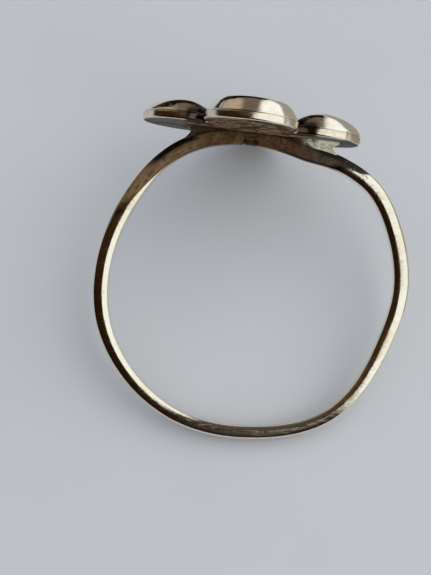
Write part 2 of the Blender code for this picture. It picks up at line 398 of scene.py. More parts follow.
def make_seam(finish):
    """Solder between the ends of the band, with a ragged groove along both its edges."""
    half_gap = turn_of(SEAM_GAP / 2.0 + SEAM_OVERLAP)
    sections = []
    shares = []
    for share in np.linspace(-1.0, 1.0, SEAM_STEPS):
        angle = SEAM_ANGLE + half_gap * float(share)
        thickness = band_thickness(angle)
        section = []
        for across, out in band_section(angle):
            inner = max(0.0, 1.0 - 2.0 * out / thickness)
            spot = band_point(angle, across, out)
            groove = abs(float(share) + SEAM_WANDER * ripple(spot, *SEAM_EDGE_RIPPLE)) ** 8
            lump = SEAM_BULGE * (0.4 + 0.9 * ripple(spot, *SEAM_LUMP_RIPPLE))
            lump -= SEAM_GROOVE * min(1.2, groove)
            sunk = out - lump * inner - SEAM_SINK * (1.0 - inner)
            section.append(file_flat(band_point(angle, across * SEAM_NARROWING, sunk)))
            shares.append(out / thickness)
        sections.append(section)
    mark_height(set_piece("solder_seam", loft(sections), finish), shares)


def plate_outline(inset):
    """Four-lobed outline with rounded notches, drawn as arcs and set in by a distance."""
    lobe = PLATE_LOBE - inset
    notch = NOTCH_RADIUS + inset
    tangent = math.atan2(NOTCH_AT, NOTCH_AT - PETAL_PITCH)
    opening = tangent - math.pi / 4.0
    quarter = []
    for step in range(LOBE_STEPS + 1):
        angle = tangent * (2.0 * step / LOBE_STEPS - 1.0)
        quarter.append((PETAL_PITCH + lobe * math.cos(angle), lobe * math.sin(angle)))
    for step in range(1, NOTCH_STEPS):
        angle = math.pi * 1.25 + opening * (1.0 - 2.0 * step / NOTCH_STEPS)
        quarter.append((NOTCH_AT + notch * math.cos(angle), NOTCH_AT + notch * math.sin(angle)))
    turns = [Matrix.Rotation(k * math.pi / 2.0, 2) for k in range(4)]
    return [turn @ Vector(spot) for turn in turns for spot in quarter]


def eased_edge(ease):
    """Quarter round as (drop from the face, inset from the rim), from the face to the rim."""
    turns = [math.pi / 2.0 * step / EASE_STEPS for step in range(EASE_STEPS + 1)]
    return [(ease * (1.0 - math.cos(turn)), ease * (1.0 - math.sin(turn))) for turn in turns]


def make_plate(finish):
    """Four-lobed sheet with rounded edges, its rim left a little wavy by the saw."""
    levels = [(0.0, inset) for inset in PLATE_LOWER_INSETS] + eased_edge(PLATE_LOWER_EASE)
    upper_edge = reversed(eased_edge(PLATE_UPPER_EASE))
    levels += [(PLATE_THICKNESS - drop, inset) for drop, inset in upper_edge]
    levels += [(PLATE_THICKNESS, inset) for inset in PLATE_UPPER_INSETS]
    sections = []
    for height, inset in levels:
        section = []
        for spot in plate_outline(inset):
            rim = spot.to_3d()
            wave = unevenness(rim, RIM_WAVES, RIM_WAVE_SINK)
            section.append(rim + rim.normalized() * wave + Vector((0.0, 0.0, height)))
        sections.append(section)
    piece = set_piece("back_plate", loft(sections), finish, HEAD_PLACE)
    piece.modifiers.new("flat faces", "WEIGHTED_NORMAL").keep_sharp = True


def make_petal(name, turn, finish, top_height, outer_flank):
    """Domed cap with a rounded foot, steep at its sides, sloping down to the middle of the head."""
    turns = np.linspace(0.0, math.tau, PETAL_STEPS, endpoint=False)
    crest = Vector((PETAL_CREST_OUT, 0.0, top_height))
    rings = []
    for level in range(FOOT_LEVELS):
        bend = math.pi / 2.0 * level / FOOT_LEVELS
        reach = PETAL_RADIUS - PETAL_FOOT * (1.0 - math.sin(bend))
        height = PETAL_FOOT * (1.0 - math.cos(bend))
        rings.append([(reach * math.cos(t), reach * math.sin(t), height) for t in turns])
    for level in range(DOME_LEVELS):
        share = math.cos(math.pi / 2.0 * level / DOME_LEVELS)
        run = (1.0 - share) / PETAL_FLANK
        flank = run / (1.0 + run ** 4) ** 0.25 * (1.0 - PETAL_CROWN * share * share)
        ring = []
        for t in turns:
            inward = (0.5 - 0.5 * math.cos(t)) ** 3
            fall = PETAL_OUTER_FALL + (PETAL_INNER_FALL - PETAL_OUTER_FALL) * inward
            steep = outer_flank * (1.0 - inward) + (1.0 - outer_flank) * math.sin(t) ** 4
            rise = (1.0 - steep) * (1.0 - share * share) ** fall + steep * flank
            x = crest.x + (PETAL_RADIUS * math.cos(t) - crest.x) * share
            height = PETAL_FOOT + (top_height - PETAL_FOOT) * rise
            spot = Vector((x, PETAL_RADIUS * math.sin(t) * share, height))
            spot.z += unevenness(spot, PETAL_DENTS, PETAL_DENT_SINK, turn) * rise
            ring.append(spot)
        rings.append(ring)
    builder = bmesh.new()
    loops = skin(builder, rings)
    dent = unevenness(crest, PETAL_DENTS[:1], PETAL_DENT_SINK, turn)
    top = builder.verts.new(crest + Vector((0.0, 0.0, dent)))
    for k in range(PETAL_STEPS):
        builder.faces.new((loops[-1][k], loops[-1][(k + 1) % PETAL_STEPS], top))
    builder.faces.new(list(reversed(loops[0])))
    angle = math.radians(turn)
    spot = Vector((math.cos(angle), math.sin(angle), 0.0)) * PETAL_PITCH
    spot.z = PLATE_THICKNESS + PETAL_FILM
    place = HEAD_PLACE @ Matrix.Translation(spot) @ Matrix.Rotation(angle, 4, "Z")
    set_piece(name, builder, finish, place)


def angle_at_gap(side, gap):
    """Angle on one side of the seat at which the crown has fallen away from the plate by a gap."""
    offset = SOLDER_NEAREST
    while offset < SOLDER_FURTHEST and SEAT - crown_reach(SEAM_ANGLE + side * offset) < gap:
        offset += SOLDER_SEARCH_STEP
    return SEAM_ANGLE + side * offset


def make_fillet(name, side, end_gap, finish):
    """Solder run in between the crown and the plate, hollow at its free edges, a little lumpy."""
    start = angle_at_gap(side, SOLDER_THIN)
    end = angle_at_gap(side, end_gap)
    builder = bmesh.new()
    bmesh.ops.create_cube(builder, size=1.0)
    bmesh.ops.subdivide_edges(builder, edges=builder.edges, cuts=SOLDER_CUTS, use_grid_fill=True)
    for vertex in builder.verts:
        along, side_share, up = vertex.co
        run = along + 0.5
        flare = 4.0 * up * up
        angle = start + (end - start) * run + side * SOLDER_HOLLOW * (flare - 1.0) * run
        spread = SOLDER_TOP if up > 0.0 else SOLDER_FOOT
        foot = side_share * BAND_WIDTH * SOLDER_FOOT
        spot = band_point(angle, foot, up)
        angle += side * SOLDER_END_WANDER * ripple(spot, *SOLDER_END_RIPPLE) * run
        low = band_point(angle, foot, crown_height(angle, foot) - SOLDER_INTO_BAND)
        room = SEAT + SOLDER_INTO_PLATE - HEAD_NORMAL.dot(low)
        vertex.co = low + HEAD_NORMAL * room * (up + 0.5)
        vertex.co.z = side_share * BAND_WIDTH * (SOLDER_WAIST + (spread - SOLDER_WAIST) * flare)
        vertex.co.z *= 1.0 + SOLDER_LUMPS * ripple(spot, *SOLDER_LUMP_RIPPLE)
    set_piece(name, builder, finish)


# Nodes


def add(tree, kind, links=(), **settings):
    """Add a node, set its properties, and fill its inputs from pairs of (input, source or value)."""
    node = tree.nodes.new(kind)
    for key, value in settings.items():
        setattr(node, key, value)
    for socket, source in links:
        if isinstance(source, bpy.types.NodeSocket):
            tree.links.new(source, node.inputs[socket])
        else:
            node.inputs[socket].default_value = source
    return node


def math_node(tree, operation, first, second=0.0):
    """One sum, each side a socket or a number."""
    links = ((0, first), (1, second))
    return add(tree, "ShaderNodeMath", links, operation=operation).outputs[0]


def chain(tree, operation, first, *others):
    """Sockets and numbers joined one after another by the same operation."""
    for other in others:
        first = math_node(tree, operation, first, other)
    return first


def times(tree, *factors):
    """Product of masks and numbers."""
    return chain(tree, "MULTIPLY", *factors)


def plus(tree, *terms):
    """Sum of masks and numbers."""
    return chain(tree, "ADD", *terms)


def minus(tree, first, second):
    """Difference of two masks or numbers."""
    return math_node(tree, "SUBTRACT", first, second)


def between(tree, value, low, high):
    """Smooth rise from nought at low to one at high."""
    links = ((0, value), (1, low), (2, high))
    return add(tree, "ShaderNodeMapRange", links, interpolation_type="SMOOTHSTEP").outputs[0]


def vary(tree, low, high, share):
    """Number that goes from low to high with a mask."""
    return add(tree, "ShaderNodeMapRange", ((0, share), (3, low), (4, high))).outputs[0]


def speckle(tree, place, scale, detail, **more):
    """Plain noise."""
    links = (("Vector", place), ("Scale", scale), ("Detail", detail), *more.items())
    return add(tree, "ShaderNodeTexNoise", links).outputs[0]


def blend(tree, share, first, second):
    """Mix of two colours, each a socket or three numbers."""
    node = tree.nodes.new("ShaderNodeMix")
    node.data_type = "RGBA"
    for socket, source in (("Factor_Float", share), ("A_Color", first), ("B_Color", second)):
        target = next(s for s in node.inputs if s.identifier == socket)
        if isinstance(source, bpy.types.NodeSocket):
            tree.links.new(source, target)
        else:
            target.default_value = (*source, 1.0)
    return next(s for s in node.outputs if s.identifier == "Result_Color")


# Node groups shared by the finishes

SCRATCH_TURNS = ((0.3, 0.2, 0.5), (1.1, -0.4, 1.9), (-0.5, 0.9, 2.8))
SCRATCH_STRETCH = (0.55, 11.0, 11.0)
SCRATCH_EDGE = 0.06


def new_group(name, values, outputs):
    """An empty shader group with a place, values and outputs, and the scale that its size gives."""
    tree = bpy.data.node_groups.new(name, "ShaderNodeTree")
    tree.interface.new_socket("Place", in_out="INPUT", socket_type="NodeSocketVector")
    for label, value in values.items():
        socket = tree.interface.new_socket(label, in_out="INPUT", socket_type="NodeSocketFloat")
        socket.default_value = value
    for label in outputs:
        tree.interface.new_socket(label, in_out="OUTPUT", socket_type="NodeSocketFloat")
    inside = tree.nodes.new("NodeGroupInput").outputs
    outside = tree.nodes.new("NodeGroupOutput").inputs
    return tree, inside, outside, math_node(tree, "DIVIDE", 1.0, inside["Size"])


def make_tarnish_group():
    """Cloudy film of tarnish, broken up by a finer cloud."""
    values = {"Size": 1.0, "From": 0.45, "To": 0.65}
    tree, inside, outside, scale = new_group("tarnish_clouds", values, ("Mask",))
    broad = speckle(tree, inside["Place"], scale, 5.0, Roughness=0.62, Distortion=0.6)
    fine = speckle(tree, inside["Place"], times(tree, scale, 7.0), 3.0)
    mixed = plus(tree, broad, times(tree, minus(tree, fine, 0.5), 0.25))
    tree.links.new(between(tree, mixed, inside["From"], inside["To"]), outside["Mask"])
    return tree


def make_scratch_group():
    """Fine straight scratches in three directions, as height and as mask."""
    values = {"Size": 1.0, "Sparse": 0.62}
    tree, inside, outside, scale = new_group("wear_scratches", values, ("Height", "Mask"))
    cuts = []
    for turn in SCRATCH_TURNS:
        links = (("Vector", inside["Place"]), ("Rotation", turn), ("Scale", SCRATCH_STRETCH))
        laid = add(tree, "ShaderNodeMapping", links).outputs[0]
        lines = speckle(tree, laid, scale, 1.0, Roughness=0.4)
        full = plus(tree, inside["Sparse"], SCRATCH_EDGE)
        cuts.append(between(tree, lines, inside["Sparse"], full))
    total = chain(tree, "MAXIMUM", *cuts)
    tree.links.new(minus(tree, 1.0, total), outside["Height"])
    tree.links.new(total, outside["Mask"])
    return tree


def make_hand_group():
    """Soft unevenness left by hammer, file and polishing, as height."""
    tree, inside, outside, scale = new_group("hand_finish", {"Size": 1.0}, ("Height",))
    broad = speckle(tree, inside["Place"], scale, 1.5)
    fine = speckle(tree, inside["Place"], times(tree, scale, 4.3), 2.0)
    tree.links.new(plus(tree, broad, times(tree, fine, 0.18)), outside["Height"])
    return tree


def make_pit_group():
    """Small pits of unpolished metal and solder, as height and as mask."""
    values = {"Size": 0.3, "Depth": 0.5}
    tree, inside, outside, scale = new_group("pitting", values, ("Height", "Mask"))
    links = (("Vector", inside["Place"]), ("Scale", scale), ("Randomness", 1.0))
    cells = add(tree, "ShaderNodeTexVoronoi", links, feature="SMOOTH_F1").outputs["Distance"]
    grain = speckle(tree, inside["Place"], times(tree, scale, 2.2), 4.0, Roughness=0.65)
    pit = minus(tree, 1.0, between(tree, cells, 0.08, 0.42))
    deep = times(tree, pit, between(tree, grain, 0.42, 0.62))
    tree.links.new(minus(tree, grain, times(tree, deep, inside["Depth"])), outside["Height"])
    tree.links.new(deep, outside["Mask"])
    return tree


TARNISH = make_tarnish_group()
SCRATCHES = make_scratch_group()
HAND = make_hand_group()
PITS = make_pit_group()


# Finishes: colours in pairs are the plain and the more heavily filmed one

BAND_SILVER = ((0.88, 0.84, 0.75), (0.82, 0.76, 0.63))
BAND_SPOT = (0.58, 0.47, 0.33)
# Painted dark reflection: brown tint of the metal on the outer left shoulder
SHOULDER_REFLECTION_BROWN = (0.36, 0.27, 0.16)
# Painted shade next to the head, in the middle and to the right
MIDDLE_SHADE_BROWN = ((0.128, 0.062, 0.028), (0.088, 0.043, 0.020))
RIGHT_SHADE_BROWN = ((0.087, 0.064, 0.046), (0.060, 0.044, 0.031))
# Painted dark reflection: diffuse brown over the left shoulder
LEFT_REFLECTION_BROWN = ((0.175, 0.110, 0.050), (0.137, 0.083, 0.037))
PAINTED_BROWN_GRAIN = (0.023, 0.013, 0.007)
STAIN_AND_SHADE_SPECK = (0.227, 0.150, 0.087)
PAINTED_BROWN_STREAK = (0.300, 0.200, 0.106)
# Painted shade along the bore's edge and beside the fillets, under the head
BORE_EDGE_SHADE = (0.008, 0.005, 0.003)
LEFT_HEAD_SHADE = (0.007, 0.004, 0.003)
RIGHT_HEAD_SHADE = ((0.019, 0.017, 0.015), (0.100, 0.093, 0.083))
SEAM_STAIN = ((0.090, 0.047, 0.022), (0.060, 0.030, 0.014))
SEAM_BLACK = (0.006, 0.004, 0.003)
PETAL_SILVER = ((0.94, 0.92, 0.87), (0.89, 0.85, 0.76))
PETAL_MOTTLE = (0.62, 0.54, 0.42)
# Painted shade in the notches of the head
PETAL_NOTCH_SHADE = (0.030, 0.018, 0.010)
PLATE_SILVER = ((0.86, 0.80, 0.71), (0.74, 0.65, 0.51))
# Painted shade: the plate's underside
PLATE_SHADED_UNDERSIDE = ((0.20, 0.185, 0.17), (0.12, 0.108, 0.096))
PLATE_FIRE = ((0.330, 0.232, 0.148), (0.180, 0.115, 0.069))
PLATE_GRAIN = (0.034, 0.019, 0.011)
PLATE_PIT = (0.013, 0.009, 0.005)
# Painted shade in the notches of the head
PLATE_NOTCH_SHADE = (0.050, 0.026, 0.013)
PALE_SOLDER = ((0.88, 0.87, 0.67), (0.46, 0.43, 0.30))
# Painted shade: the left fillet's solder, made dark as on the shaded side
SHADED_SOLDER = ((0.15, 0.11, 0.08), (0.075, 0.052, 0.037))
# Painted shade: solder darker towards the middle of the head
SOLDER_SHADE_BY_HEAD = ((0.100, 0.057, 0.030), (0.050, 0.027, 0.013))
SOLDER_PIT_SHADE = 0.35
STREAK_ALONG = 0.22
STREAK_ACROSS = 2.8


def new_material(name):
    """A material with its node tree and its shader."""
    material = bpy.data.materials.new(name)
    material.use_nodes = True
    return material, material.node_tree, material.node_tree.nodes["Principled BSDF"]


def new_finish(name):
    """A metal with its shader and the place on the piece in millimetres."""
    material, tree, shader = new_material(name)
    shader.inputs["Metallic"].default_value = 1.0
    where = add(tree, "ShaderNodeTexCoord").outputs["Object"]
    links = ((0, where), (1, (MM_PER_METRE, MM_PER_METRE, MM_PER_METRE)))
    place = add(tree, "ShaderNodeVectorMath", links, operation="MULTIPLY").outputs[0]
    return material, tree, shader, place


def use(tree, group, **inputs):
    """Outputs of a shared group placed in a finish with its own values."""
    return add(tree, "ShaderNodeGroup", inputs.items(), node_tree=group).outputs


def clouds(tree, place, size, low, high):
    """Mask of tarnish in clouds of a size."""
    return use(tree, TARNISH, Place=place, Size=size, From=low, To=high)["Mask"]


def raise_surface(tree, height, distance, under=None):
    """Bump of a height in millimetres, on top of another one where given."""
    links = [("Height", height), ("Distance", distance * MM), ("Strength", 1.0)]
    if under is not None:
        links.append(("Normal", under))
    return add(tree, "ShaderNodeBump", links).outputs[0]


def dress(tree, shader, **surface):
    """Join what changes over the surface to the shader."""
    sockets = {
        "colour": "Base Color",
        "rough": "Roughness",
        "metal": "Metallic",
        "normal": "Normal",
    }
    for label, source in surface.items():
        tree.links.new(source, shader.inputs[sockets[label]])


def parts_in(tree, place, axes):
    """X, Y and Z of a place, in millimetres, in other axes."""
    back = axes.to_3x3().normalized().transposed()
    shift = back @ axes.to_translation() * -MM_PER_METRE
    links = (("Vector", place), ("Rotation", back.to_euler()), ("Location", shift))
    moved = add(tree, "ShaderNodeMapping", links, vector_type="POINT").outputs[0]
    return add(tree, "ShaderNodeSeparateXYZ", ((0, moved),)).outputs


def height_share(tree):
    """The stored height between the bore and the crown."""
    return add(tree, "ShaderNodeAttribute", attribute_name="from_bore").outputs["Fac"]


def along_band(tree, ring):
    """Place on the band, drawn out along its length so that a cloud turns into streaks."""
    turn = math_node(tree, "ARCTAN2", ring[1], ring[0])
    length = times(tree, turn, BORE_DIAMETER / 2.0 * STREAK_ALONG)
    depth = times(tree, height_share(tree), SHOULDER_THICKNESS * STREAK_ACROSS)
    width = times(tree, ring[2], STREAK_ACROSS)
    return add(tree, "ShaderNodeCombineXYZ", ((0, length), (1, depth), (2, width))).outputs[0]


def make_band_finish():
    """Worn warm silver, bright where it rubs; the brown on the left shoulder is a painted dark
    reflection, and by the head there is painted shade.
    """
    material, tree, shader, place = new_finish("band_silver")
    film = clouds(tree, place, 2.6, 0.42, 0.66)
    spots = clouds(tree, place, 0.5, 0.60, 0.72)
    grain = clouds(tree, place, 0.30, 0.40, 0.64)
    specks = clouds(tree, place, 0.43, 0.50, 0.66)
    scratch = use(tree, SCRATCHES, Place=place, Size=1.0, Sparse=0.64)
    hand = use(tree, HAND, Place=place, Size=1.4)
    ring = parts_in(tree, place, RING_PLACE)
    streaks = clouds(tree, along_band(tree, ring), 0.34, 0.44, 0.62)

    # Where the painted shade and the painted dark reflection lie
    height = height_share(tree)
    bore_edge = between(tree, height, 0.13, 0.03)
    left = between(tree, ring[0], 1.5, 0.0)
    right = between(tree, ring[0], 0.0, 1.5)
    ragged = plus(tree, ring[1], times(tree, spots, 0.3))
    rising = plus(tree, times(tree, ragged, 0.16), minus(tree, height, 0.74))
    # Painted dark reflection: brown over the left shoulder
    left_reflection = times(
        tree,
        between(tree, rising, 0.34, 0.58),
        between(tree, ring[1], 3.2, 6.4),
        left,
        vary(tree, 1.0, 0.5, bore_edge),
    )
    # Painted shade: the band next to the head
    shade_by_head = times(
        tree,
        between(tree, ragged, 6.6, 7.7),
        between(tree, ring[0], 7.0, 5.9),
        between(tree, ring[0], -2.0, -0.5),
    )
    # Painted shade: beside the left and right fillets, under the head
    shade_left = times(
        tree,
        between(tree, ragged, 6.9, 7.7),
        left,
        between(tree, height, 0.46, 0.70),
        between(tree, ring[0], -2.8, -3.6),
    )
    shade_right = times(
        tree,
        between(tree, ragged, 6.5, 7.0),
        right,
        between(tree, height, 0.48, 0.70),
        between(tree, ring[0], 3.4, 4.4),
    )
    painted_dark = chain(tree, "MAXIMUM", shade_by_head, left_reflection, shade_left, shade_right)

    # Bare metal
    colour = blend(tree, film, *BAND_SILVER)
    colour = blend(tree, times(tree, spots, 0.4), colour, BAND_SPOT)
    # Painted dark reflection: the outer left shoulder tinted brown
    shoulder = times(tree, between(tree, ring[1], 2.0, 5.0), left)
    outer = vary(tree, 0.10, 0.85, between(tree, height, 0.45, 0.85))
    colour = blend(tree, times(tree, shoulder, outer), colour, SHOULDER_REFLECTION_BROWN)

    # Painted shade by the head and painted dark reflection on the left shoulder, broken up by grain,
    # specks and streaks
    painted_brown = blend(tree, film, *MIDDLE_SHADE_BROWN)
    painted_brown = blend(tree, between(tree, ring[0], 1.5, 4.5), painted_brown, blend(tree, film, *RIGHT_SHADE_BROWN))
    painted_brown = blend(tree, between(tree, ring[0], -1.5, -4.5), painted_brown, blend(tree, film, *LEFT_REFLECTION_BROWN))
    painted_brown = blend(tree, times(tree, grain, 0.60), painted_brown, PAINTED_BROWN_GRAIN)
    painted_brown = blend(tree, times(tree, specks, 0.45), painted_brown, STAIN_AND_SHADE_SPECK)
    drawn = times(tree, streaks, between(tree, ring[0], -0.5, -3.0), 0.45)
    painted_brown = blend(tree, drawn, painted_brown, PAINTED_BROWN_STREAK)
    # Painted shade along the bore's edge next to the head
    bore_shade = times(tree, bore_edge, between(tree, ring[0], 0.8, 2.5))
    painted_brown = blend(tree, bore_shade, painted_brown, BORE_EDGE_SHADE)
    painted_brown = blend(tree, shade_left, painted_brown, LEFT_HEAD_SHADE)
    painted_brown = blend(tree, shade_right, painted_brown, blend(tree, spots, *RIGHT_HEAD_SHADE))

    rough = plus(
        tree,
        vary(tree, 0.08, 0.15, film),
        times(tree, scratch["Mask"], 0.06),
        times(tree, painted_dark, 0.26),
    )
    shader.inputs["Specular IOR Level"].default_value = 0.05
    dress(
        tree,
        shader,
        colour=blend(tree, between(tree, painted_dark, 0.0, 0.4), colour, painted_brown),
        rough=rough,
        metal=vary(tree, 1.0, 0.04, between(tree, painted_dark, 0.3, 0.9)),
        normal=raise_surface(
            tree, scratch["Height"], 0.0010, raise_surface(tree, hand["Height"], 0.016)
        ),
    )
    return material


def make_seam_finish():
    """Filled seam: brown like the band beside it, black in the pits along the bore."""
    material, tree, shader, place = new_finish("seam_solder")
    film = clouds(tree, place, 0.5, 0.42, 0.66)
    specks = clouds(tree, place, 0.43, 0.50, 0.66)
    marks = clouds(tree, place, 0.22, 0.40, 0.56)
    pits = use(tree, PITS, Place=place, Size=0.18, Depth=0.9)
    low = times(tree, marks, between(tree, height_share(tree), 0.40, 0.16))
    colour = blend(tree, film, *SEAM_STAIN)
    colour = blend(tree, times(tree, specks, 0.45), colour, STAIN_AND_SHADE_SPECK)
    shader.inputs["Specular IOR Level"].default_value = 0.05
    dress(
        tree,
        shader,
        colour=blend(tree, low, colour, SEAM_BLACK),
        rough=vary(tree, 0.38, 0.60, film),
        metal=vary(tree, 0.08, 0.0, low),
        normal=raise_surface(tree, pits["Height"], 0.012),
    )
    return material


def notch_shade(tree, head):
    """Painted shade in the notches of the head, on the sides of the left and right lobes, in head
    axes.
    """
    across = math_node(tree, "ABSOLUTE", head[0])
    along = math_node(tree, "ABSOLUTE", head[1])
    off_x = minus(tree, across, NOTCH_AT)
    off_y = minus(tree, along, NOTCH_AT)
    away = plus(tree, times(tree, off_x, off_x), times(tree, off_y, off_y))
    near = between(tree, math_node(tree, "SQRT", away), 1.25, 0.85)
    return times(tree, near, between(tree, minus(tree, across, along), -0.05, 0.20))


def make_petal_finish():
    """Pressed and polished silver with a thin warm film and light scratches."""
    material, tree, shader, place = new_finish("petal_silver")
    film = clouds(tree, place, 1.6, 0.44, 0.68)
    mottle = clouds(tree, place, 0.7, 0.46, 0.70)
    scratch = use(tree, SCRATCHES, Place=place, Size=0.8, Sparse=0.67)
    hand = use(tree, HAND, Place=place, Size=1.1)
    head = parts_in(tree, place, HEAD_FRAME)
    # Painted shade low in the notches
    shade_in_notch = times(tree, notch_shade(tree, head), between(tree, head[2], 1.1, 0.6))
    colour = blend(tree, film, *PETAL_SILVER)
    colour = blend(tree, times(tree, mottle, 0.25), colour, PETAL_MOTTLE)
    rough = plus(
        tree,
        vary(tree, 0.09, 0.15, film),
        times(tree, mottle, 0.05),
        times(tree, scratch["Mask"], 0.10),
    )
    dress(
        tree,
        shader,
        colour=blend(tree, times(tree, shade_in_notch, 0.9), colour, PETAL_NOTCH_SHADE),
        rough=rough,
        normal=raise_surface(
            tree, scratch["Height"], 0.0009, raise_surface(tree, hand["Height"], 0.016)
        ),
    )
    return material


def make_plate_finish():
    """Sheet silver, polished round the rim, rough underneath with painted shade there and in the
    notches, and dark fire scale near the solder.
    """
    material, tree, shader, place = new_finish("plate_silver")
    film = clouds(tree, place, 1.3, 0.40, 0.64)
    grain = clouds(tree, place, 0.55, 0.42, 0.58)
    pits = use(tree, PITS, Place=place, Size=0.28, Depth=0.6)
    scratch = use(tree, SCRATCHES, Place=place, Size=0.8, Sparse=0.66)
    head = parts_in(tree, place, HEAD_FRAME)
    ragged = plus(tree, math_node(tree, "ABSOLUTE", head[0]), times(tree, film, 0.8))
    under = between(tree, head[2], 0.016, 0.004)
    fire = times(tree, under, between(tree, ragged, 4.6, 3.4))
    dark = blend(tree, film, *PLATE_FIRE)
    dark = blend(tree, times(tree, grain, 0.85), dark, PLATE_GRAIN)
    dark = blend(tree, times(tree, pits["Mask"], 0.8), dark, PLATE_PIT)
    colour = blend(tree, film, *PLATE_SILVER)
    # Painted shade: the whole underside darker
    colour = blend(tree, under, colour, blend(tree, film, *PLATE_SHADED_UNDERSIDE))
    colour = blend(tree, fire, colour, dark)
    rough = plus(
        tree,
        vary(tree, 0.12, 0.22, film),
        times(tree, under, 0.14),
        times(tree, fire, 0.40),
        times(tree, scratch["Mask"], 0.08),
    )
    pitted = times(tree, pits["Height"], vary(tree, 0.03, 1.0, fire))
    shader.inputs["Specular IOR Level"].default_value = 0.0
    dress(
        tree,
        shader,
        # Painted shade in the notches
        colour=blend(tree, times(tree, notch_shade(tree, head), 0.94), colour, PLATE_NOTCH_SHADE),
        rough=rough,
        metal=vary(tree, 1.0, 0.05, under),
        normal=raise_surface(
            tree, scratch["Height"], 0.0007, raise_surface(tree, pitted, 0.030)
        ),
    )
    return material


def make_solder_finish(name, skins, rough_low, rough_high, metal):
    """Run solder: a satin skin with stains and small pits, with painted shade towards the middle of
    the head.
    """
    material, tree, shader, place = new_finish(name)
    film = clouds(tree, place, 0.7, 0.42, 0.66)
    pits = use(tree, PITS, Place=place, Size=0.20, Depth=0.8)
    pit_colour = [SOLDER_PIT_SHADE * part for part in skins[1]]
    colour = blend(tree, times(tree, pits["Mask"], 0.35), blend(tree, film, *skins), pit_colour)
    ring = parts_in(tree, place, RING_PLACE)
    # Painted shade: darker towards the middle of the head, under the plate
    aside = minus(tree, math_node(tree, "ABSOLUTE", ring[0]), times(tree, film, 0.7))
    shade_by_head = blend(tree, film, *SOLDER_SHADE_BY_HEAD)
    shader.inputs["Metallic"].default_value = metal
    dress(
        tree,
        shader,
        colour=blend(tree, between(tree, aside, 3.9, 2.7), colour, shade_by_head),
        rough=vary(tree, rough_low, rough_high, film),
        normal=raise_surface(tree, pits["Height"], 0.025),
    )
    return material


# The ring

make_band(make_band_finish())
make_plate(make_plate_finish())
petal_finish = make_petal_finish()
make_petal("petal_left", 180.0, petal_finish, PETAL_LEFT_HEIGHT, 0.0)
make_petal("petal_right", 0.0, petal_finish, PETAL_HEIGHT, 0.0)
make_petal("petal_front", 270.0, petal_finish, PETAL_HEIGHT, 1.0)
make_petal("petal_rear", 90.0, petal_finish, PETAL_HEIGHT, 1.0)
pale = make_solder_finish("pale_solder_skin", PALE_SOLDER, 0.34, 0.50, 0.2)
# Painted shade: the left fillet is the same solder painted dark brown as the shaded side
shaded_solder = make_solder_finish("shaded_solder_skin", SHADED_SOLDER, 0.40, 0.56, 0.5)
make_fillet("solder_left", 1.0, SOLDER_LEFT_END, shaded_solder)
make_fillet("solder_right", -1.0, SOLDER_RIGHT_END, pale)
make_seam(make_seam_finish())


# Table, light and camera

TABLE_PALE = ((0.53, 0.55, 0.58), (0.57, 0.59, 0.62))
TABLE_MOTTLE = 90.0
TABLE_HALF_WIDTH = 1.5
WINDOW_DIRECTION = Vector((0.78, 0.26, 0.57)).normalized()
WINDOW_DISTANCE = 0.55


def make_table():
    """Plain pale table top with a barely visible mottle."""
    material, tree, shader = new_material("pale_table")
    shader.inputs["Roughness"].default_value = 0.8
    shader.inputs["Specular IOR Level"].default_value = 0.2
    where = add(tree, "ShaderNodeTexCoord").outputs["Object"]
    dress(tree, shader, colour=blend(tree, speckle(tree, where, TABLE_MOTTLE, 3.0), *TABLE_PALE))
    builder = bmesh.new()
    bmesh.ops.create_grid(builder, x_segments=2, y_segments=2, size=TABLE_HALF_WIDTH)
    table = new_object("table", new_mesh("table", builder, material))


def smooth_step(low, high, value):
    """Smooth rise from nought at low to one at high."""
    t = min(1.0, max(0.0, (value - low) / (high - low)))
    return t * t * (3.0 - 2.0 * t)


def bearing(spot):
    """Direction of a spot as degrees round from the right and degrees up."""
    round_ = math.degrees(math.atan2(spot.y, spot.x))
    up = math.degrees(math.atan2(spot.z, math.hypot(spot.x, spot.y)))
    return round_, up


def level_ring(radius, height=0.0):
    """Level ring of spots round the finger axis."""
    turns = np.linspace(0.0, math.tau, TENT_COLUMNS, endpoint=False)
    return [Vector((radius * math.cos(turn), radius * math.sin(turn), height)) for turn in turns]


def dome_rings(radius):
    """Rings of spots on a dome over the ring, one for each degree up."""
    rises = [math.radians(TENT_FOOT + row) for row in range(TENT_ROWS)]
    return [level_ring(radius * math.cos(rise), radius * math.sin(rise)) for rise in rises]


def card_rings():
    """Rings of spots up to the edge of the low card, which is lower towards the left."""
    edge = level_ring(CARD_RADIUS)
    for spot in edge:
        spot.z = 3.0 - 8.0 * smooth_step(108.0, 122.0, bearing(spot)[0])
    return [level_ring(CARD_RADIUS, height) for height in CARD_LEVELS] + [edge]


def mat_ring(reach):
    """Ring of spots close above the table."""
    level = -finger_hole["pos_m"][2] / MM
    spots = level_ring(reach)
    for spot in spots:
        spot.z = MAT_CLEARANCE + (level - spot.y * math.sin(LEAN)) / math.cos(LEAN)
    return spots


def window_edge(up):
    """Bearing at which the opening of the tent ends towards the head; it narrows higher up."""
    return 72.0 - 14.0 * smooth_step(45.0, 75.0, up)


def window_sill(round_):
    """Height in degrees at which the opening begins; low towards the head."""
    return 6.0 - 30.0 * smooth_step(18.0, 34.0, round_)


def in_window(spot):
    """The open side of the tent, to the right, through which the light comes."""
    round_, up = bearing(spot)
    beside = WINDOW_START < round_ < window_edge(up)
    return beside and up > window_sill(round_) and spot.x > 0.06 * spot.z


def clear_of_sheet(spot):
    """Where there is no sheet: behind the cloth of the tent, but for a margin round its opening."""
    first, last = SHEET_SPAN
    return not (first < bearing(spot)[0] < last and spot.x > -0.1 * spot.z)


def clear_of_card(spot):
    """Where there is no low card: all round but beyond the head."""
    first, last = CARD_SPAN
    return not first < bearing(spot)[0] < last


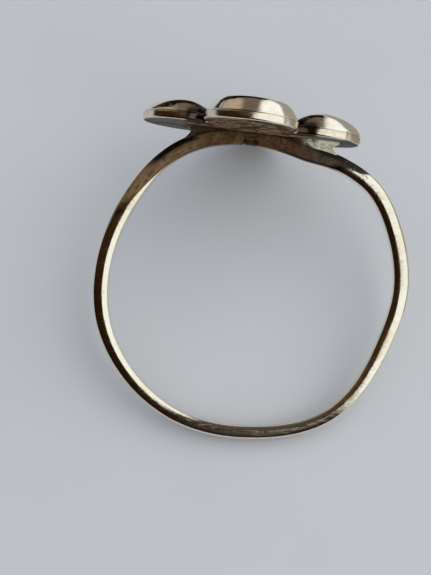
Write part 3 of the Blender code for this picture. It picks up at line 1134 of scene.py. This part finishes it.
def clear_of_mat(spot):
    """Where there is no mat: all round but to the right; close by it reaches further round."""
    first = MAT_NEAR_START if math.hypot(spot.x, spot.y) < MAT_STEP else MAT_FAR_START
    return not first < bearing(spot)[0] < MAT_END


def tent_shade(round_, up):
    """Painted reflection colours: brown-black all round, tan beyond the left of the head, greyer
    towards the band's base.
    """
    brown = Vector((0.0165, 0.0070, 0.0026))
    russet = Vector((0.030, 0.013, 0.005))
    dark_grey = Vector((0.028, 0.019, 0.014))
    light_grey = Vector((0.088, 0.071, 0.062))
    tan = Vector((0.44, 0.355, 0.255))
    shade = Vector((0.150, 0.115, 0.085))
    olive = Vector((0.070, 0.056, 0.044))
    warm = Vector((0.080, 0.048, 0.022))
    sill = Vector((0.24, 0.19, 0.14))
    foot = -2.0 - 11.0 * smooth_step(112.0, 126.0, round_)
    aside = round_ + 90.0
    towards_base = smooth_step(60.0, 10.0, aside)
    if aside <= 0.0:
        towards_base = smooth_step(-34.0, -8.0, aside)
    past_window = smooth_step(66.0, 76.0, round_)
    beyond_head = smooth_step(158.0, 146.0, round_) * past_window
    wall = beyond_head * smooth_step(foot - 1.0, foot + 2.0, up) * smooth_step(33.0, 25.0, up)
    colour = brown.lerp(dark_grey.lerp(light_grey, smooth_step(66.0, 90.0, up)), towards_base)
    colour = colour.lerp(russet, smooth_step(180.0, 168.0, round_) * past_window)
    ceiling = olive.lerp(warm, smooth_step(112.0, 126.0, round_))
    colour = colour.lerp(ceiling, beyond_head * smooth_step(88.0, 78.0, up))
    colour = colour.lerp(shade.lerp(tan, smooth_step(98.0, 110.0, round_)), wall)
    if -50.0 < round_ < 36.0:
        colour = colour.lerp(sill, smooth_step(9.0, 7.0, up))
    below = 0.9 * smooth_step(foot + 2.0, foot - 1.0, up) * beyond_head
    return colour.lerp(CARD_BLACK, below)


def sheet_shade(round_, up):
    """Painted reflection of the window: bright in the opening, dusky at both its sides."""
    dusk = Vector((0.16, 0.13, 0.10))
    daylight = Vector((1.04, 1.05, 0.98))
    edge = window_edge(up)
    lit = smooth_step(edge + 4.0, edge - 9.0, round_) * smooth_step(-56.0, -38.0, round_)
    return dusk.lerp(daylight, lit)


def make_tent():
    """What the metal mirrors, and nothing else sees, glowing in its own colours as painted
    reflections:
    a dark tent, open to the right onto a bright sheet that paints the window's reflection, a low
    black card beyond the head, and a tan mat close above the table to the right."""
    walls = (
        (dome_rings(TENT_RADIUS), in_window, tent_shade),
        (dome_rings(SHEET_RADIUS), clear_of_sheet, sheet_shade),
        (card_rings(), clear_of_card, CARD_BLACK),
        ([mat_ring(reach) for reach in MAT_REACHES], clear_of_mat, MAT_TAN),
    )
    material, tree, shader = new_material("tent_painted_reflections")
    tree.nodes.remove(shader)
    tint = add(tree, "ShaderNodeVertexColor", layer_name="shade").outputs[0]
    glow = add(tree, "ShaderNodeEmission", (("Color", tint), ("Strength", 1.0))).outputs[0]
    tree.links.new(glow, tree.nodes["Material Output"].inputs[0])
    builder = bmesh.new()
    colours = []
    for rings, is_open, shade in walls:
        skin(builder, rings, is_open)
        spots = [spot for ring in rings for spot in ring]
        colours += [shade(*bearing(spot)) if callable(shade) else shade for spot in spots]
    mesh = new_mesh("tent", builder, material)
    shades = mesh.color_attributes.new("shade", "FLOAT_COLOR", "POINT")
    for spot, colour in zip(shades.data, colours):
        spot.color = (*colour, 1.0)
    mesh.transform(RING_FRAME)
    tent = new_object("tent", mesh)
    tent.visible_camera = False
    tent.visible_diffuse = False
    tent.visible_shadow = False
    tent.visible_transmission = False


def make_window():
    """Large soft window to the right."""
    lamp = bpy.data.lights.new("window", "AREA")
    lamp.shape = "RECTANGLE"
    lamp.size = 1.1
    lamp.size_y = 0.8
    lamp.energy = 3.75
    lamp.color = (1.0, 0.975, 0.915)
    window = new_object("window", lamp)
    direction = Matrix.Rotation(LEAN, 3, "X") @ WINDOW_DIRECTION
    window.location = direction * WINDOW_DISTANCE
    window.rotation_euler = direction.to_track_quat("Z", "Y").to_euler()
    # The lamp is hidden from reflections; the tent's glowing sheet paints its reflection
    window.visible_glossy = False


def make_sky():
    """Even pale room light; straight views and reflections see it as a pale wall."""
    world = bpy.data.worlds.new("room")
    bpy.context.scene.world = world
    world.use_nodes = True
    tree = world.node_tree
    sky = tree.nodes["Background"]
    sky.inputs["Color"].default_value = (0.92, 0.95, 1.0, 1.0)
    rays = add(tree, "ShaderNodeLightPath").outputs
    kinds = ("Is Camera Ray", "Is Glossy Ray", "Is Transmission Ray")
    seen = chain(tree, "MAXIMUM", *(rays[kind] for kind in kinds))
    tree.links.new(vary(tree, 0.60, 0.5, seen), sky.inputs["Strength"])


def make_camera():
    """Looks down the finger hole from the distance the perspective of the picture gives."""
    lens = bpy.data.cameras.new("camera")
    lens.sensor_fit = "AUTO"
    lens.sensor_width = SENSOR
    lens.lens = SENSOR * VIEW_DISTANCE / (PICTURE[1] * MM_PER_PIXEL)
    lens.shift_x = (PICTURE[0] / 2.0 - RING_PIXEL[0]) / PICTURE[1]
    lens.shift_y = (RING_PIXEL[1] - PICTURE[1] / 2.0) / PICTURE[1]
    lens.clip_start = 0.005
    camera = new_object("camera", lens)
    camera.matrix_world = RING_PLACE @ Matrix.Translation((0.0, 0.0, VIEW_DISTANCE * MM))
    bpy.context.scene.camera = camera


make_table()
make_tent()
make_window()
make_sky()
make_camera()
bpy.context.scene.view_settings.view_transform = "Standard"
